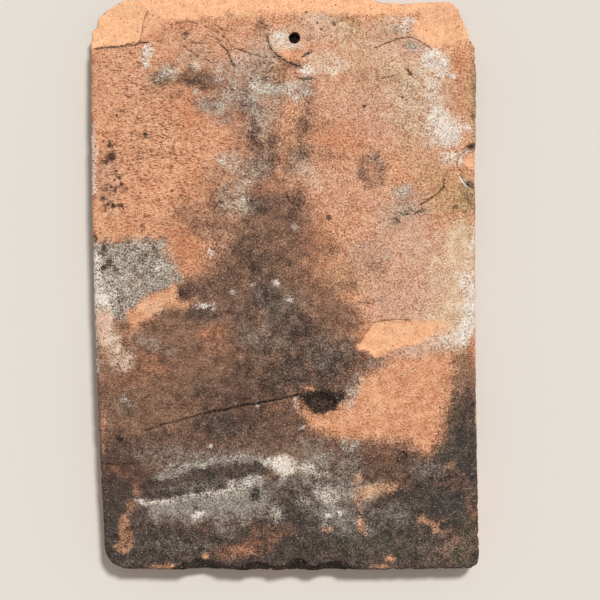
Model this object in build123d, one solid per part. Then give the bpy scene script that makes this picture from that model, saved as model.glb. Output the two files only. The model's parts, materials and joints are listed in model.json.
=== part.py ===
from build123d import *
from math import asin, degrees, sqrt
import os

# An old hand-made clay peg tile: one slab of fired clay, cambered both ways, with one punched peg hole
# near its head, worn arrises, broken head corners and the chips and spalls of long use.
# Millimetres. The tile lies face up on its ends: X runs across it, Y from tail to head, Z out of the face.

# Slab
tile_length = 246.0
head_width = 166.0
tail_width = 160.4
tail_shift = 3.6  # the tail's middle stands this far to the right of the head's
tile_thickness = 14.0
length_camber = 2.4  # rise of the middle over the two ends
cross_camber = 0.9  # rise of the middle over the two long sides

# How far each drawn side stands off its chord, outwards where positive
left_bow = 1.8
right_bow = -1.7
tail_bow = 0.8
head_bow = 0.6

# Corners and arrises
tail_left_radius = 10.0
tail_right_radius = 5.0
face_arris_radius = 1.8
bed_arris_radius = 0.9

# Peg hole, punched from the face, with the shallow dish that the punch pressed round it
hole_radius = 2.35
hole_from_head = 18.0
hole_off_centre = 4.3
dish_radius = 8.9
dish_depth = 1.3

# Broken head corners, as (in along the head, down along the side) from the corner where they would have met
left_break = [(13.4, 0.0), (6.7, 4.6), (4.8, 6.0), (2.3, 9.1), (2.0, 12.6), (0.0, 14.0)]
right_break = [(47.0, 0.0), (40.0, 2.0), (29.0, 2.1), (13.0, 1.4), (10.4, 2.5), (8.4, 5.2), (5.2, 12.9)]
right_break += [(3.7, 18.1), (1.5, 21.8), (0.6, 34.0)]

# Worn bevel along the head: it leaves the face along a line between two places, given as
# (in from the left side, down from the head), and dips from there to the head
head_bevel = {"start": (0.0, 11.0), "end": (160.0, 4.8), "dip": 34.0}

# Shell-shaped flakes off the face at the two head corners, each about its own middle
left_flake = {"from_side": 8.0, "from_head": -2.0, "radius": 26.0, "depth": 5.6}
right_flake = {"from_side": 12.8, "from_head": 10.0, "radius": 14.4, "depth": 2.2}

# Shell-shaped chips bitten out of an arris: along is the place on that side, span the length lost there,
# reach how far it goes in over the face and depth how far down the side
side_chips = [
    {"along": 52.4, "span": 15.2, "reach": 7.4, "depth": 4.6},
    {"along": 44.6, "span": 13.0, "reach": 5.2, "depth": 3.8},
]
tail_chips = [
    {"along": -34.5, "span": 20.0, "reach": 4.0, "depth": 6.4},
    {"along": -10.4, "span": 12.6, "reach": 3.7, "depth": 3.8},
    {"along": 5.6, "span": 12.0, "reach": 5.4, "depth": 3.4},
    {"along": 20.4, "span": 13.2, "reach": 3.9, "depth": 5.0},
]

# Thin spall on the face, deepest at its left edge and running out to nothing at its right end
spall_outline = [(31.6, -26.4), (35.0, -20.4), (37.6, -16.8), (43.2, -15.8), (49.4, -16.6), (56.4, -15.0)]
spall_outline += [(61.6, -18.0), (60.2, -23.4), (51.6, -27.2), (46.2, -27.0), (43.2, -31.4)]
spall_outline += [(39.8, -31.0), (35.8, -28.4)]
spall_depth = 1.1

# Boat-shaped hollow where a lump burnt out of the clay
pit = {"across": 15.2, "along": -50.9, "length": 19.4, "width": 9.6, "depth": 2.6, "turn": 3.0}

cutter_margin = 20.0  # how far the cutting tools stand clear of the slab

half_length = tile_length / 2


def arc_radius(half_chord, rise):
    """Radius of the arc that rises by rise over a chord of twice half_chord."""
    return (half_chord**2 + rise**2) / (2 * rise)


# The bed is an arc across the tile, turned about a far axis below it for the camber along its length.
bed_crown = length_camber + cross_camber
across_radius = arc_radius(head_width / 2, cross_camber)
along_axis_height = bed_crown - arc_radius(half_length, length_camber)


def fall_from_crown(radius, distance):
    """How far an arc has fallen at a distance from its crown."""
    return radius - sqrt(radius**2 - distance**2)


def face_height(x, y):
    """Height of the sound face at a place in plan."""
    middle = bed_crown + tile_thickness - fall_from_crown(across_radius + tile_thickness, x)
    return middle - fall_from_crown(middle - along_axis_height, y)


def bowed_side(start, end, bow):
    """Arc between two corners, standing off its chord by bow on the right of the way from start to end."""
    way = (end - start).normalized()
    middle = (start + end) / 2 + Vector(way.Y, -way.X) * bow
    return ThreePointArc(start, middle, end)


def right_side_at(y):
    """How far out the right side stands at a place along the tile."""
    from_tail = (y + half_length) / tile_length
    on_chord = (tail_shift + tail_width / 2) * (1 - from_tail) + head_width / 2 * from_tail
    return on_chord + right_bow * (1 - (y / half_length) ** 2)


def corner_break(corner, side, steps):
    """What is missing at a broken head corner; side is -1 at the left and 1 at the right."""
    edge = [corner - Vector(side * along, down) for along, down in steps]
    past = Vector(side * cutter_margin, cutter_margin)
    outside = [Vector(past.X, 0), past, Vector(0, past.Y)]
    points = edge + [edge[-1] + outside[0], corner + outside[1], edge[0] + outside[2]]
    return Polygon(*[(p.X, p.Y) for p in points], align=None)


def plan():
    """Outline of the slab seen from above."""
    head_left = Vector(-head_width / 2, half_length - head_bow)
    head_right = Vector(head_width / 2, half_length - head_bow)
    tail_left = Vector(tail_shift - tail_width / 2, tail_bow - half_length)
    tail_right = Vector(tail_shift + tail_width / 2, tail_bow - half_length)
    sides = [
        bowed_side(head_left, tail_left, left_bow),
        bowed_side(tail_left, tail_right, tail_bow),
        bowed_side(tail_right, head_right, right_bow),
        bowed_side(head_right, head_left, head_bow),
    ]
    outline = make_face(Curve() + sides)
    outline = fillet(outline.vertices().sort_by_distance(tail_left)[0], tail_left_radius)
    outline = fillet(outline.vertices().sort_by_distance(tail_right)[0], tail_right_radius)
    outline -= corner_break(head_left, -1, left_break)
    outline -= corner_break(head_right, 1, right_break)
    return outline


def cambered_sheet():
    """Endless slab of even thickness, curved across by its section and along by the turn."""
    half_width = head_width / 2 + cutter_margin
    reach = degrees(asin((half_length + cutter_margin) / -along_axis_height))
    arcs = []
    for lift in (0, tile_thickness):
        crown = bed_crown + lift
        edge = crown - fall_from_crown(across_radius + lift, half_width)
        arcs.append(ThreePointArc((-half_width, 0, edge), (0, 0, crown), (half_width, 0, edge)))
    bed, face = arcs
    section = make_face(Curve() + [bed, Line(bed @ 1, face @ 1), face, Line(face @ 0, bed @ 0)])
    turning_axis = Axis((0, 0, along_axis_height), (1, 0, 0))
    sheet = revolve(section, axis=turning_axis, revolution_arc=2 * reach)
    return sheet.rotate(turning_axis, -reach)


def sound_slab():
    """The tile as it was made: drawn outline, cambered faces and arrises rubbed round."""
    deep = bed_crown + tile_thickness + cutter_margin
    slab = cambered_sheet() & extrude(plan(), deep)
    rim = slab.edges().filter_by(lambda e: e.center().Y < tile_length / 4)
    face_rim = rim.filter_by(lambda e: e.center().Z > tile_thickness * 0.9 and lies_level(e))
    slab = fillet(face_rim, face_arris_radius)
    bed_rim = slab.edges().filter_by(lambda e: e.center().Z < bed_crown and lies_level(e))
    bed_rim = bed_rim.filter_by(lambda e: e.center().Y < tile_length / 4)
    return fillet(bed_rim, bed_arris_radius)


def lies_level(edge):
    """True of an edge that follows the rim, not one that runs up a corner."""
    return abs((edge @ 1).Z - (edge @ 0).Z) < tile_thickness / 2


def peg_hole():
    """Punched hole and the dish pressed round its mouth."""
    x, y = hole_off_centre, half_length - hole_from_head
    hole = Pos(x, y, tile_thickness / 2) * Cylinder(hole_radius, 2 * tile_thickness + 2 * cutter_margin)
    return hole + scallop(x, y, dish_radius, dish_depth)


def scallop(x, y, mouth_radius, depth):
    """Round hollow in the face, as one blow or one thumb leaves it."""
    ball_radius = arc_radius(mouth_radius, depth)
    return Pos(x, y, face_height(x, y) + ball_radius - depth) * Sphere(ball_radius)


def arris_chip(x, y, outward, chip):
    """Ball that bites a chip out of the arris at a place in plan."""
    mouth_radius = arc_radius(chip["span"] / 2, chip["reach"])
    lift = ((chip["span"] / 2) ** 2 - chip["depth"] ** 2) / (2 * chip["depth"])
    ball_radius = sqrt(mouth_radius**2 + lift**2)
    centre = Vector(x, y, face_height(x, y) + lift) + outward * (mouth_radius - chip["reach"])
    return Pos(centre) * Sphere(ball_radius)


def above_break(start, end, dip):
    """All that lies over a plane that leaves the face along start-end and dips to the left of that way."""
    foot = Vector(start.X, start.Y, face_height(start.X, start.Y))
    way = Vector(end.X, end.Y, face_height(end.X, end.Y)) - foot
    out_of_face = way.cross(Vector(0, 0, 1)).cross(way)
    break_plane = Plane(origin=foot, x_dir=way, z_dir=out_of_face.rotate(Axis((0, 0, 0), way), -dip))
    size = 2 * (tile_length + cutter_margin)
    return break_plane * Box(size, size, size, align=(Align.CENTER, Align.CENTER, Align.MIN))


def head_wear():
    """Bevel across the head between its two measured ends."""
    ends = (head_bevel["start"], head_bevel["end"])
    start, end = [Vector(across - head_width / 2, half_length - down) for across, down in ends]
    return above_break(start, end, head_bevel["dip"])


def corner_flake(side, flake):
    """Flake at a head corner; side is -1 at the left and 1 at the right."""
    x, y = side * (head_width / 2 - flake["from_side"]), half_length - flake["from_head"]
    return scallop(x, y, flake["radius"], flake["depth"])


def face_spall():
    """Thin scale lost from the face, with a stepped edge on three sides."""
    outline = Polygon(*spall_outline, align=None)
    box = outline.bounding_box()
    dip = degrees(asin(spall_depth / box.size.X))
    over_floor = above_break(Vector(box.max.X, box.min.Y), Vector(box.max.X, box.max.Y), dip)
    return over_floor & extrude(outline, bed_crown + tile_thickness + cutter_margin, dir=(0, 0, 1))


def burnt_pit():
    """Boat-shaped hollow: an arc turned about its own chord, sunk into the face."""
    bow = pit["width"] / 2
    rim = ThreePointArc((-pit["length"] / 2, 0), (0, bow), (pit["length"] / 2, 0))
    boat = revolve(make_face(Curve() + [rim, Line(rim @ 1, rim @ 0)]), axis=Axis.X)
    x, y = pit["across"], pit["along"]
    return Pos(x, y, face_height(x, y) + bow - pit["depth"]) * Rot(0, 0, pit["turn"]) * boat


def worn_tile():
    """The slab less its hole, breaks, chips and hollows, standing on its lowest corners."""
    tile = sound_slab()
    tile -= peg_hole()
    tile -= head_wear()
    tile -= corner_flake(-1, left_flake)
    tile -= corner_flake(1, right_flake)
    for chip in side_chips:
        tile -= arris_chip(right_side_at(chip["along"]), chip["along"], Vector(1, 0), chip)
    for chip in tail_chips:
        tile -= arris_chip(chip["along"], -half_length, Vector(0, -1), chip)
    tile -= face_spall()
    tile -= burnt_pit()
    box = tile.bounding_box()
    return Pos(-box.center().X, -box.center().Y, -box.min.Z) * tile


tile = worn_tile()
os.makedirs("parts", exist_ok=True)
export_step(tile, "parts/tile.step")
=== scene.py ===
import json
import math

import bmesh
import bpy
import numpy as np
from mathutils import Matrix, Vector, noise
from mathutils.bvhtree import BVHTree
from mathutils.kdtree import KDTree


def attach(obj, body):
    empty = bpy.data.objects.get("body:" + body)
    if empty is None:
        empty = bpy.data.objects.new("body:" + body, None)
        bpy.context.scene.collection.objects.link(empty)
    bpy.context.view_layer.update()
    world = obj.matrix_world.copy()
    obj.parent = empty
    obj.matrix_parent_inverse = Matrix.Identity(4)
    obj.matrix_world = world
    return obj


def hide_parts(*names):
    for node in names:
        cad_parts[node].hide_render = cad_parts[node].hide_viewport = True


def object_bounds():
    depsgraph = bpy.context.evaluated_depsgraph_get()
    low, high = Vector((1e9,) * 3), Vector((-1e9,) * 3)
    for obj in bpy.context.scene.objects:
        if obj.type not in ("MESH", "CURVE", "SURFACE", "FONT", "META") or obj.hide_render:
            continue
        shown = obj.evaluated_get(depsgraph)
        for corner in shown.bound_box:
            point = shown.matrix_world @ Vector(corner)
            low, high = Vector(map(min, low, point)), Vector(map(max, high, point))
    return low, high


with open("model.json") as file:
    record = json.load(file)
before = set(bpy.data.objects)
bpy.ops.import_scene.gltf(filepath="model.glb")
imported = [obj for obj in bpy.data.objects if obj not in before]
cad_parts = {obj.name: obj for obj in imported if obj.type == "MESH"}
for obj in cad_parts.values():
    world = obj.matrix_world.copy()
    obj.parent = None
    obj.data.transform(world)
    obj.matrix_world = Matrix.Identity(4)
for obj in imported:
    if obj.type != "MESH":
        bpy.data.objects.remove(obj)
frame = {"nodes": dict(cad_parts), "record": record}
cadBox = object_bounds()
print("frame loaded")

mm = 0.001
far = 99.0  # mm, further than any stain or crack reaches
tiny = 1e-9

# Stains and damage are placed by a 600 x 600 picture of the face, in its pixels
picture = {"pixelsPerMm": 2.333, "tileMiddle": (285.2, 283.4), "pixels": 600}

# How far apart in mm the noises of two seeds are taken, and how each octave fades and shrinks
noises = {"apart": (17.31, -5.77, 11.13), "fade": 1.0, "step": 2.1}


def onTile(places):
    # picture pixels to millimetres from the middle of the tile
    return (np.array(places, float) - picture["tileMiddle"]) * (1, -1) / picture["pixelsPerMm"]


def smoothstep(low, high, value):
    part = np.clip((value - low) / (high - low), 0, 1)
    return part * part * (3 - 2 * part)


def wander(places, size, seed, octaves):
    # soft noise of about -1 to 1, with lumps about that many mm across
    shift = Vector([seed * along for along in noises["apart"]])
    fade, step = noises["fade"], noises["step"]
    return np.array([noise.fractal(Vector(place) + shift, fade, step, octaves) for place in places / size])


def depthInside(places, outline):
    # mm inside a closed outline, and less than nothing outside it
    around = 25
    depth = np.full(len(places), -far)
    near = np.all((places > outline.min(0) - around) & (places < outline.max(0) + around), axis=1)
    x, y = places[near].T
    reach = np.full(len(x), far)
    inside = np.zeros(len(x), bool)
    for start, end in zip(outline, np.roll(outline, -1, axis=0)):
        reach = np.minimum(reach, gapToRun(places[near], start, end))
        climb = (end[1] - start[1]) or tiny
        crosses = (start[1] > y) != (end[1] > y)
        inside ^= crosses & (x < start[0] + (y - start[1]) * (end[0] - start[0]) / climb)
    depth[near] = np.where(inside, reach, -reach)
    return depth


def gapToRun(places, start, end):
    run = end - start
    along = np.clip((places - start) @ run / max(run @ run, tiny), 0, 1)
    return np.linalg.norm(places - start - along[:, None] * run, axis=1)


def gapToLine(places, line):
    return np.min([gapToRun(places, a, b) for a, b in zip(line[:-1], line[1:])], axis=0)


# What is cut or knocked into the face, beside the breaks that the solid has
damage = {
    "crackEdge": 0.6,  # of the half width
    "crackSides": 9.0,  # half widths
    "crackFade": (1.8, 0.7),
    # mm of depth at which a crack's painted shade is full
    "darkDepth": 0.8,
    # each crack is painted dark as painted shade, the deeper the darker
    "cracks": {  # half width and depth in mm, then the line
        "long crack": (0.45, 0.9, [
            (206, 413), (213, 411), (226, 409), (240, 405), (258, 403), (276, 399), (300, 394)]),
        "crack's left end": (0.35, 0.45, [(146, 430), (163, 424), (186, 418), (200, 414)]),
        "left break": (0.3, 0.35, [(147, 10), (145, 15), (143, 21), (142, 30), (140, 42)]),
        # painted shadow under the broken left corner
        "under left break": (0.5, 0.5, [
            (148, 43), (141, 43), (134, 46), (128, 45), (120, 48), (112, 47), (96, 49)]),
        "over the scar": (0.3, 0.4, [(375, 49), (388, 43), (400, 39), (412, 38), (423, 44), (432, 50)]),
        "top hairline": (0.25, 0.3, [(376, 80), (386, 78), (396, 76)]),
        "top nick": (0.4, 0.5, [(407, 71), (412, 77)]),
        "beside the hole": (0.3, 0.35, [(303, 96), (305, 101), (309, 105)]),
        "right scratch": (0.35, 0.45, [(443, 187), (438, 193), (430, 199), (420, 205)]),
        "edge scratch": (0.3, 0.35, [(443, 180), (443, 187)]),
        "short line": (0.25, 0.3, [(360, 302), (373, 304)]),
        # painted shadow along the spall's top edge
        "over the spall": (0.3, 0.3, [(383, 321), (394, 319), (407, 320)]),
        "left of the dish": (0.4, 0.5, [(222, 47), (227, 51), (230, 58), (234, 67)]),
        "scale 1": (0.35, 0.25, [(205, 27), (211, 30), (217, 33)]),
        "scale 2": (0.3, 0.25, [(192, 44), (198, 45), (205, 44)]),
        "scale 3": (0.35, 0.25, [(208, 36), (215, 38), (221, 43)]),
        "scale 4": (0.3, 0.25, [(200, 52), (208, 54), (215, 53)]),
        # this and the next are painted shadow under the dish's raised rim
        "under the dish": (0.45, 0.45, [(267, 38), (271, 50), (278, 57), (286, 62), (294, 66), (302, 69)]),
        "beside the dish": (0.4, 0.5, [(302, 58), (306, 55), (311, 53)]),
        "below the dish": (0.4, 0.5, [(301, 80), (307, 80), (313, 79)]),
        "left strip": (0.3, 0.35, [(238, 50), (246, 53), (254, 55), (262, 58), (268, 58)]),
        "middle lump": (0.4, 0.35, [(287, 197), (291, 203), (298, 206), (300, 210)]),
        "lower hairline": (0.25, 0.2, [(122, 163), (140, 160), (152, 158), (165, 155)]),
        "left scratch": (0.25, 0.15, [(124, 224), (140, 220), (156, 215)]),
        "tail line": (0.3, 0.3, [(213, 536), (219, 539), (226, 540)]),
        "hook": (0.35, 0.5, [(398, 462), (396, 457), (398, 453), (403, 451), (406, 454), (405, 458)]),
        "left arris": (0.35, 0.3, [(103, 463), (120, 464), (141, 462)]),
        "side chip top": (0.3, 0.3, [
            (474, 150), (466, 151), (460, 156), (456, 163), (457, 169), (463, 174)]),
        "side chip middle": (0.35, 0.35, [(464, 166), (469, 170), (476, 171)]),
        "side chip foot": (0.35, 0.5, [(460, 175), (464, 182), (469, 186), (476, 189)]),
        "fleck 1": (0.25, 0.5, [(399, 213), (403, 215), (408, 215)]),
        "fleck 2": (0.25, 0.45, [(408, 208), (411, 211)]),
        "fleck 3": (0.25, 0.5, [(414, 215), (418, 211), (421, 213)]),
        "fleck 4": (0.25, 0.35, [(395, 219), (400, 223)]),
        "scale 5": (0.35, 0.28, [(176, 25), (186, 22), (196, 24)]),
        "scale 6": (0.35, 0.28, [(216, 26), (222, 31), (229, 32)]),
        "scale 7": (0.35, 0.28, [(223, 36), (229, 42), (232, 50)]),
        "scale 8": (0.35, 0.28, [(184, 47), (190, 52), (198, 57)]),
        "scale 9": (0.35, 0.28, [(206, 60), (213, 64), (218, 62)]),
    },
    "pits": [  # place, radius in pixels
        (104, 142, 1.6), (110, 146, 2.4), (113, 153, 2), (113, 158, 3.4), (107, 163, 2.6), (101, 152, 1.5),
        (117, 172, 1.6), (120, 178, 2.2), (115, 181, 1.8), (122, 185, 2), (112, 187, 1.8), (116, 191, 1.8),
        (107, 191, 1.8), (104, 199, 2.4), (110, 196, 1.4), (109, 205, 2), (114, 207, 2.6), (121, 206, 2),
        (118, 200, 1.3), (106, 212, 1.6), (112, 214, 1.4), (99, 188, 1.3), (124, 209, 1.4), (101, 172, 1.3),
        (95, 239, 3.5), (104, 248, 2.5), (110, 263, 3), (105, 268, 3), (127, 90, 1.6), (146, 135, 2.2),
        (133, 134, 1.5), (117, 116, 1.6), (186, 35, 2.4), (121, 440, 2.4), (455, 208, 2), (329, 219, 2.5),
        (290, 265, 1.6), (238, 348, 1.5), (185, 350, 1.3), (364, 107, 1.8), (423, 88, 1.4), (302, 430, 2),
        (116, 535, 2.6), (402, 98, 1.4), (306, 12, 1.8), (302, 20, 1.6), (317, 24, 1.6), (321, 30, 2),
        (328, 30, 1.4), (334, 25, 2.2), (341, 21, 1.4), (213, 27, 1.2), (222, 30, 1.4), (409, 75, 1.6),
        (382, 120, 1.2), (350, 128, 1.4)],
    "pitDepth": 0.75,  # times the radius
    "pitRim": (1.3, 0.3),  # radii
    "pitRagged": 0.3,
    "scattered": 260,
    "scatteredRadius": (0.25, 0.6),
    "grazeRagged": 0.8,
    "grazes": {  # depth in mm, softness, outline
        "orange scrape": (0.35, 0.5, [
            (128, 318), (131, 308), (150, 299), (165, 290), (176, 288), (180, 298), (190, 303), (192, 307),
            (165, 310), (150, 320), (138, 329)]),
        "left foot": (0.5, 0.6, [
            (118, 515), (124, 510), (131, 503), (133, 510), (130, 520), (132, 532), (134, 545), (128, 553),
            (117, 555), (112, 548), (118, 543), (121, 530)]),
        "lower right": (0.25, 0.6, [
            (366, 356), (392, 350), (440, 345), (462, 352), (456, 395), (446, 430), (438, 452), (420, 455),
            (405, 440), (350, 437), (312, 420), (345, 412), (352, 398), (372, 375)]),
        "tail scar": (0.4, 0.5, [(357, 520), (362, 508), (364, 530), (362, 538), (357, 534)]),
    },
}

slab = {
    "weld": 0.01,
    "voxel": 1.75,  # mm, on the bed and sides. The face is twice as fine, and its breaks finer again
    "faceSlope": 0.3,
    "bedSlope": -0.5,
    "crease": math.radians(24),
    "creaseStep": 0.6,
    "creaseReach": 1.1,
    "crackReach": 1.3,
    "pitReach": 0.7,
    "settlings": 3,
    "evening": 0.35,
    "turnsOver": (0.15, 0.6),  # slope at which a side becomes the face or the bed
    "wall": 0.95,
    "holeMouth": (2.9, 2.2),
    "holeClear": 7,
    "holeCalm": 0.7,
    "shrink": 0.16,
    "margin": 0.01,  # mm that the relief stays within the solid's box
    "crustRise": 0.11,
    "creamCrust": 0.5,  # of the crust that ash has
    "nibble": 0.75,
    "nibbled": (0.05, 0.75),
    "nibbleReach": 1.5,
    "nibbleHeight": (5, 9),
}

# Height in mm, size in mm, seed and octaves of each unevenness
unevenness = {
    "ragged": [(0.75, 5.5, 3, 2), (0.55, 1.7, 4, 2)],
    "undulation": [(0.32, 42, 11, 1)],
    "lumps": [(0.14, 7, 12, 2)],
    "coarse grit": [(0.11, 2.6, 13, 1)],
    "drag marks": [(0.06, 1.6, 14, 1)],
    "wavy break": [(0.22, 4.5, 15, 2)],
    "crust": [(0.22, 2.2, 16, 2)],
    "pit's edge": [(0.35, 0.9, 19, 1)],
    "nibbles": [(1, 3.2, 21, 2)],
    "sides": [(0.16, 5, 31, 2), (0.09, 2.6, 32, 1)],
    "grit": [(0.075, 1.3, 33, 1)],
    "weather": [(1, 22, 41, 3)],
}
squeezed = {"drag marks": (1.6 / 9, 1, 1), "wavy break": (0.6, 1.4, 1)}


def weldedCopy(node):
    bm = bmesh.new()
    bm.from_mesh(node.data)
    bmesh.ops.remove_doubles(bm, verts=bm.verts, dist=slab["weld"] * mm)
    return bm


def evenSkin(solid):
    # the solid's skin in even squares, by voxels
    blank = bpy.data.objects.new("blank", bpy.data.meshes.new("blank"))
    solid.to_mesh(blank.data)
    bpy.context.scene.collection.objects.link(blank)
    remesh = blank.modifiers.new("even squares", "REMESH")
    remesh.mode = "VOXEL"
    remesh.voxel_size = slab["voxel"] * mm
    even = bpy.data.meshes.new_from_object(blank.evaluated_get(bpy.context.evaluated_depsgraph_get()))
    bpy.data.objects.remove(blank)
    skin = bmesh.new()
    skin.from_mesh(even)
    return skin


def halve(skin, chosen):
    edges = {edge for face in chosen for edge in face.edges}
    bmesh.ops.subdivide_edges(skin, edges=list(edges), cuts=1, use_grid_fill=True)
    bmesh.ops.triangulate(skin, faces=[face for face in skin.faces if len(face.verts) > 4])


def settle(skin, surface):
    # evens the squares out and lays them back on the solid
    every = {"use_axis_x": True, "use_axis_y": True, "use_axis_z": True}
    for _ in range(slab["settlings"]):
        bmesh.ops.smooth_vert(skin, verts=skin.verts, factor=slab["evening"], **every)
        for vert in skin.verts:
            vert.co = surface.find_nearest(vert.co)[0]
    skin.normal_update()


def creasePoints(solid):
    # points along the solid's sharp edges, apart from those under the tile
    middle = (cadBox[0].z + cadBox[1].z) / 2
    found = []
    for edge in solid.edges:
        if len(edge.link_faces) == 2 and edge.calc_face_angle() > slab["crease"]:
            start, end = (vert.co for vert in edge.verts)
            if max(start.z, end.z) > middle:
                steps = max(1, round(edge.calc_length() / (slab["creaseStep"] * mm)))
                found += [start.lerp(end, step / steps) for step in range(steps + 1)]
    return found


def lookup(places):
    made = KDTree(len(places))
    for number, place in enumerate(places):
        made.insert(place, number)
    made.balance()
    return made


def refine(solid, skin, surface):
    halve(skin, [face for face in skin.faces if face.normal.z > slab["faceSlope"]])
    settle(skin, surface)
    creases = lookup(creasePoints(solid))
    faces = [face for face in skin.faces if face.normal.z > slab["bedSlope"]]
    middles = np.array([face.calc_center_median() for face in faces]) / mm
    fine = np.array([creases.find(Vector(m) * mm)[2] for m in middles]) < slab["creaseReach"] * mm
    middles = middles[:, :2]
    for width, depth, line in damage["cracks"].values():
        fine |= gapToLine(middles, onTile(line)) < slab["crackReach"]
    for x, y, radius in damage["pits"]:
        reach = radius / picture["pixelsPerMm"] + slab["pitReach"]
        fine |= np.linalg.norm(middles - onTile((x, y)), axis=1) < reach
    halve(skin, [face for face, wanted in zip(faces, fine) if wanted])
    settle(skin, surface)


solid = weldedCopy(frame["nodes"]["tile"])
skin = evenSkin(solid)
refine(solid, skin, BVHTree.FromBMesh(solid))
print("skin of", len(skin.verts), "points")

points = np.array([vert.co for vert in skin.verts]) / mm
normals = np.array([vert.normal for vert in skin.verts])
flat = points[:, :2]

# How much each point belongs to the face, the sides or the bed
onFace = smoothstep(*slab["turnsOver"], normals[:, 2])
onBed = smoothstep(*slab["turnsOver"], -normals[:, 2])
onSides = np.clip(1 - onFace - onBed, 0, 1)
hole = frame["record"]["mounts"][0]
holeGap = np.linalg.norm(flat - np.array(hole["pos_m"][:2]) / mm, axis=1)
inHole = smoothstep(*slab["holeMouth"], holeGap)
awayFromHole = holeGap > slab["holeClear"]
outer = lookup([Vector((x, y, 0)) for x, y in flat[(onSides > slab["wall"]) & awayFromHole]])
arrisGap = np.array([outer.find(Vector((x, y, 0)))[2] for x, y in flat])


def uneven(name):
    places = points * squeezed.get(name, (1, 1, 1))
    return sum(height * wander(places, *shape) for height, *shape in unevenness[name])


# The line that the edges of all the stains follow
ragged = uneven("ragged")

# Stains with an edge: how strong, how soft at the edge in mm, and the outline
lichenPatch = [
    (85, 246), (93, 241), (100, 247), (108, 241), (118, 245), (128, 240), (138, 244), (148, 238),
    (157, 242), (163, 237), (168, 245), (164, 251), (171, 255), (167, 261), (175, 265), (171, 272),
    (179, 273), (181, 280), (171, 279), (167, 286), (158, 283), (153, 291), (147, 289), (143, 298),
    (137, 300), (136, 308), (127, 309), (124, 319), (116, 315), (108, 318), (102, 309), (85, 312)
]
streak = [
    (139, 501), (150, 502), (164, 499), (178, 496), (196, 492), (214, 493), (226, 490), (229, 481),
    (236, 480), (240, 484), (248, 475), (257, 472), (266, 477), (264, 492), (254, 498), (260, 505),
    (248, 513), (226, 510), (200, 516), (176, 512), (158, 514), (146, 507)
]
spallPatch = [
    (357, 345), (362, 342), (365, 334), (370, 331), (370, 325), (376, 322), (385, 320), (396, 321),
    (405, 321), (414, 318), (424, 321), (434, 320), (436, 328), (430, 336), (418, 344), (404, 346),
    (394, 350), (384, 354), (376, 357), (371, 354), (366, 350), (359, 350)
]
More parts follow.
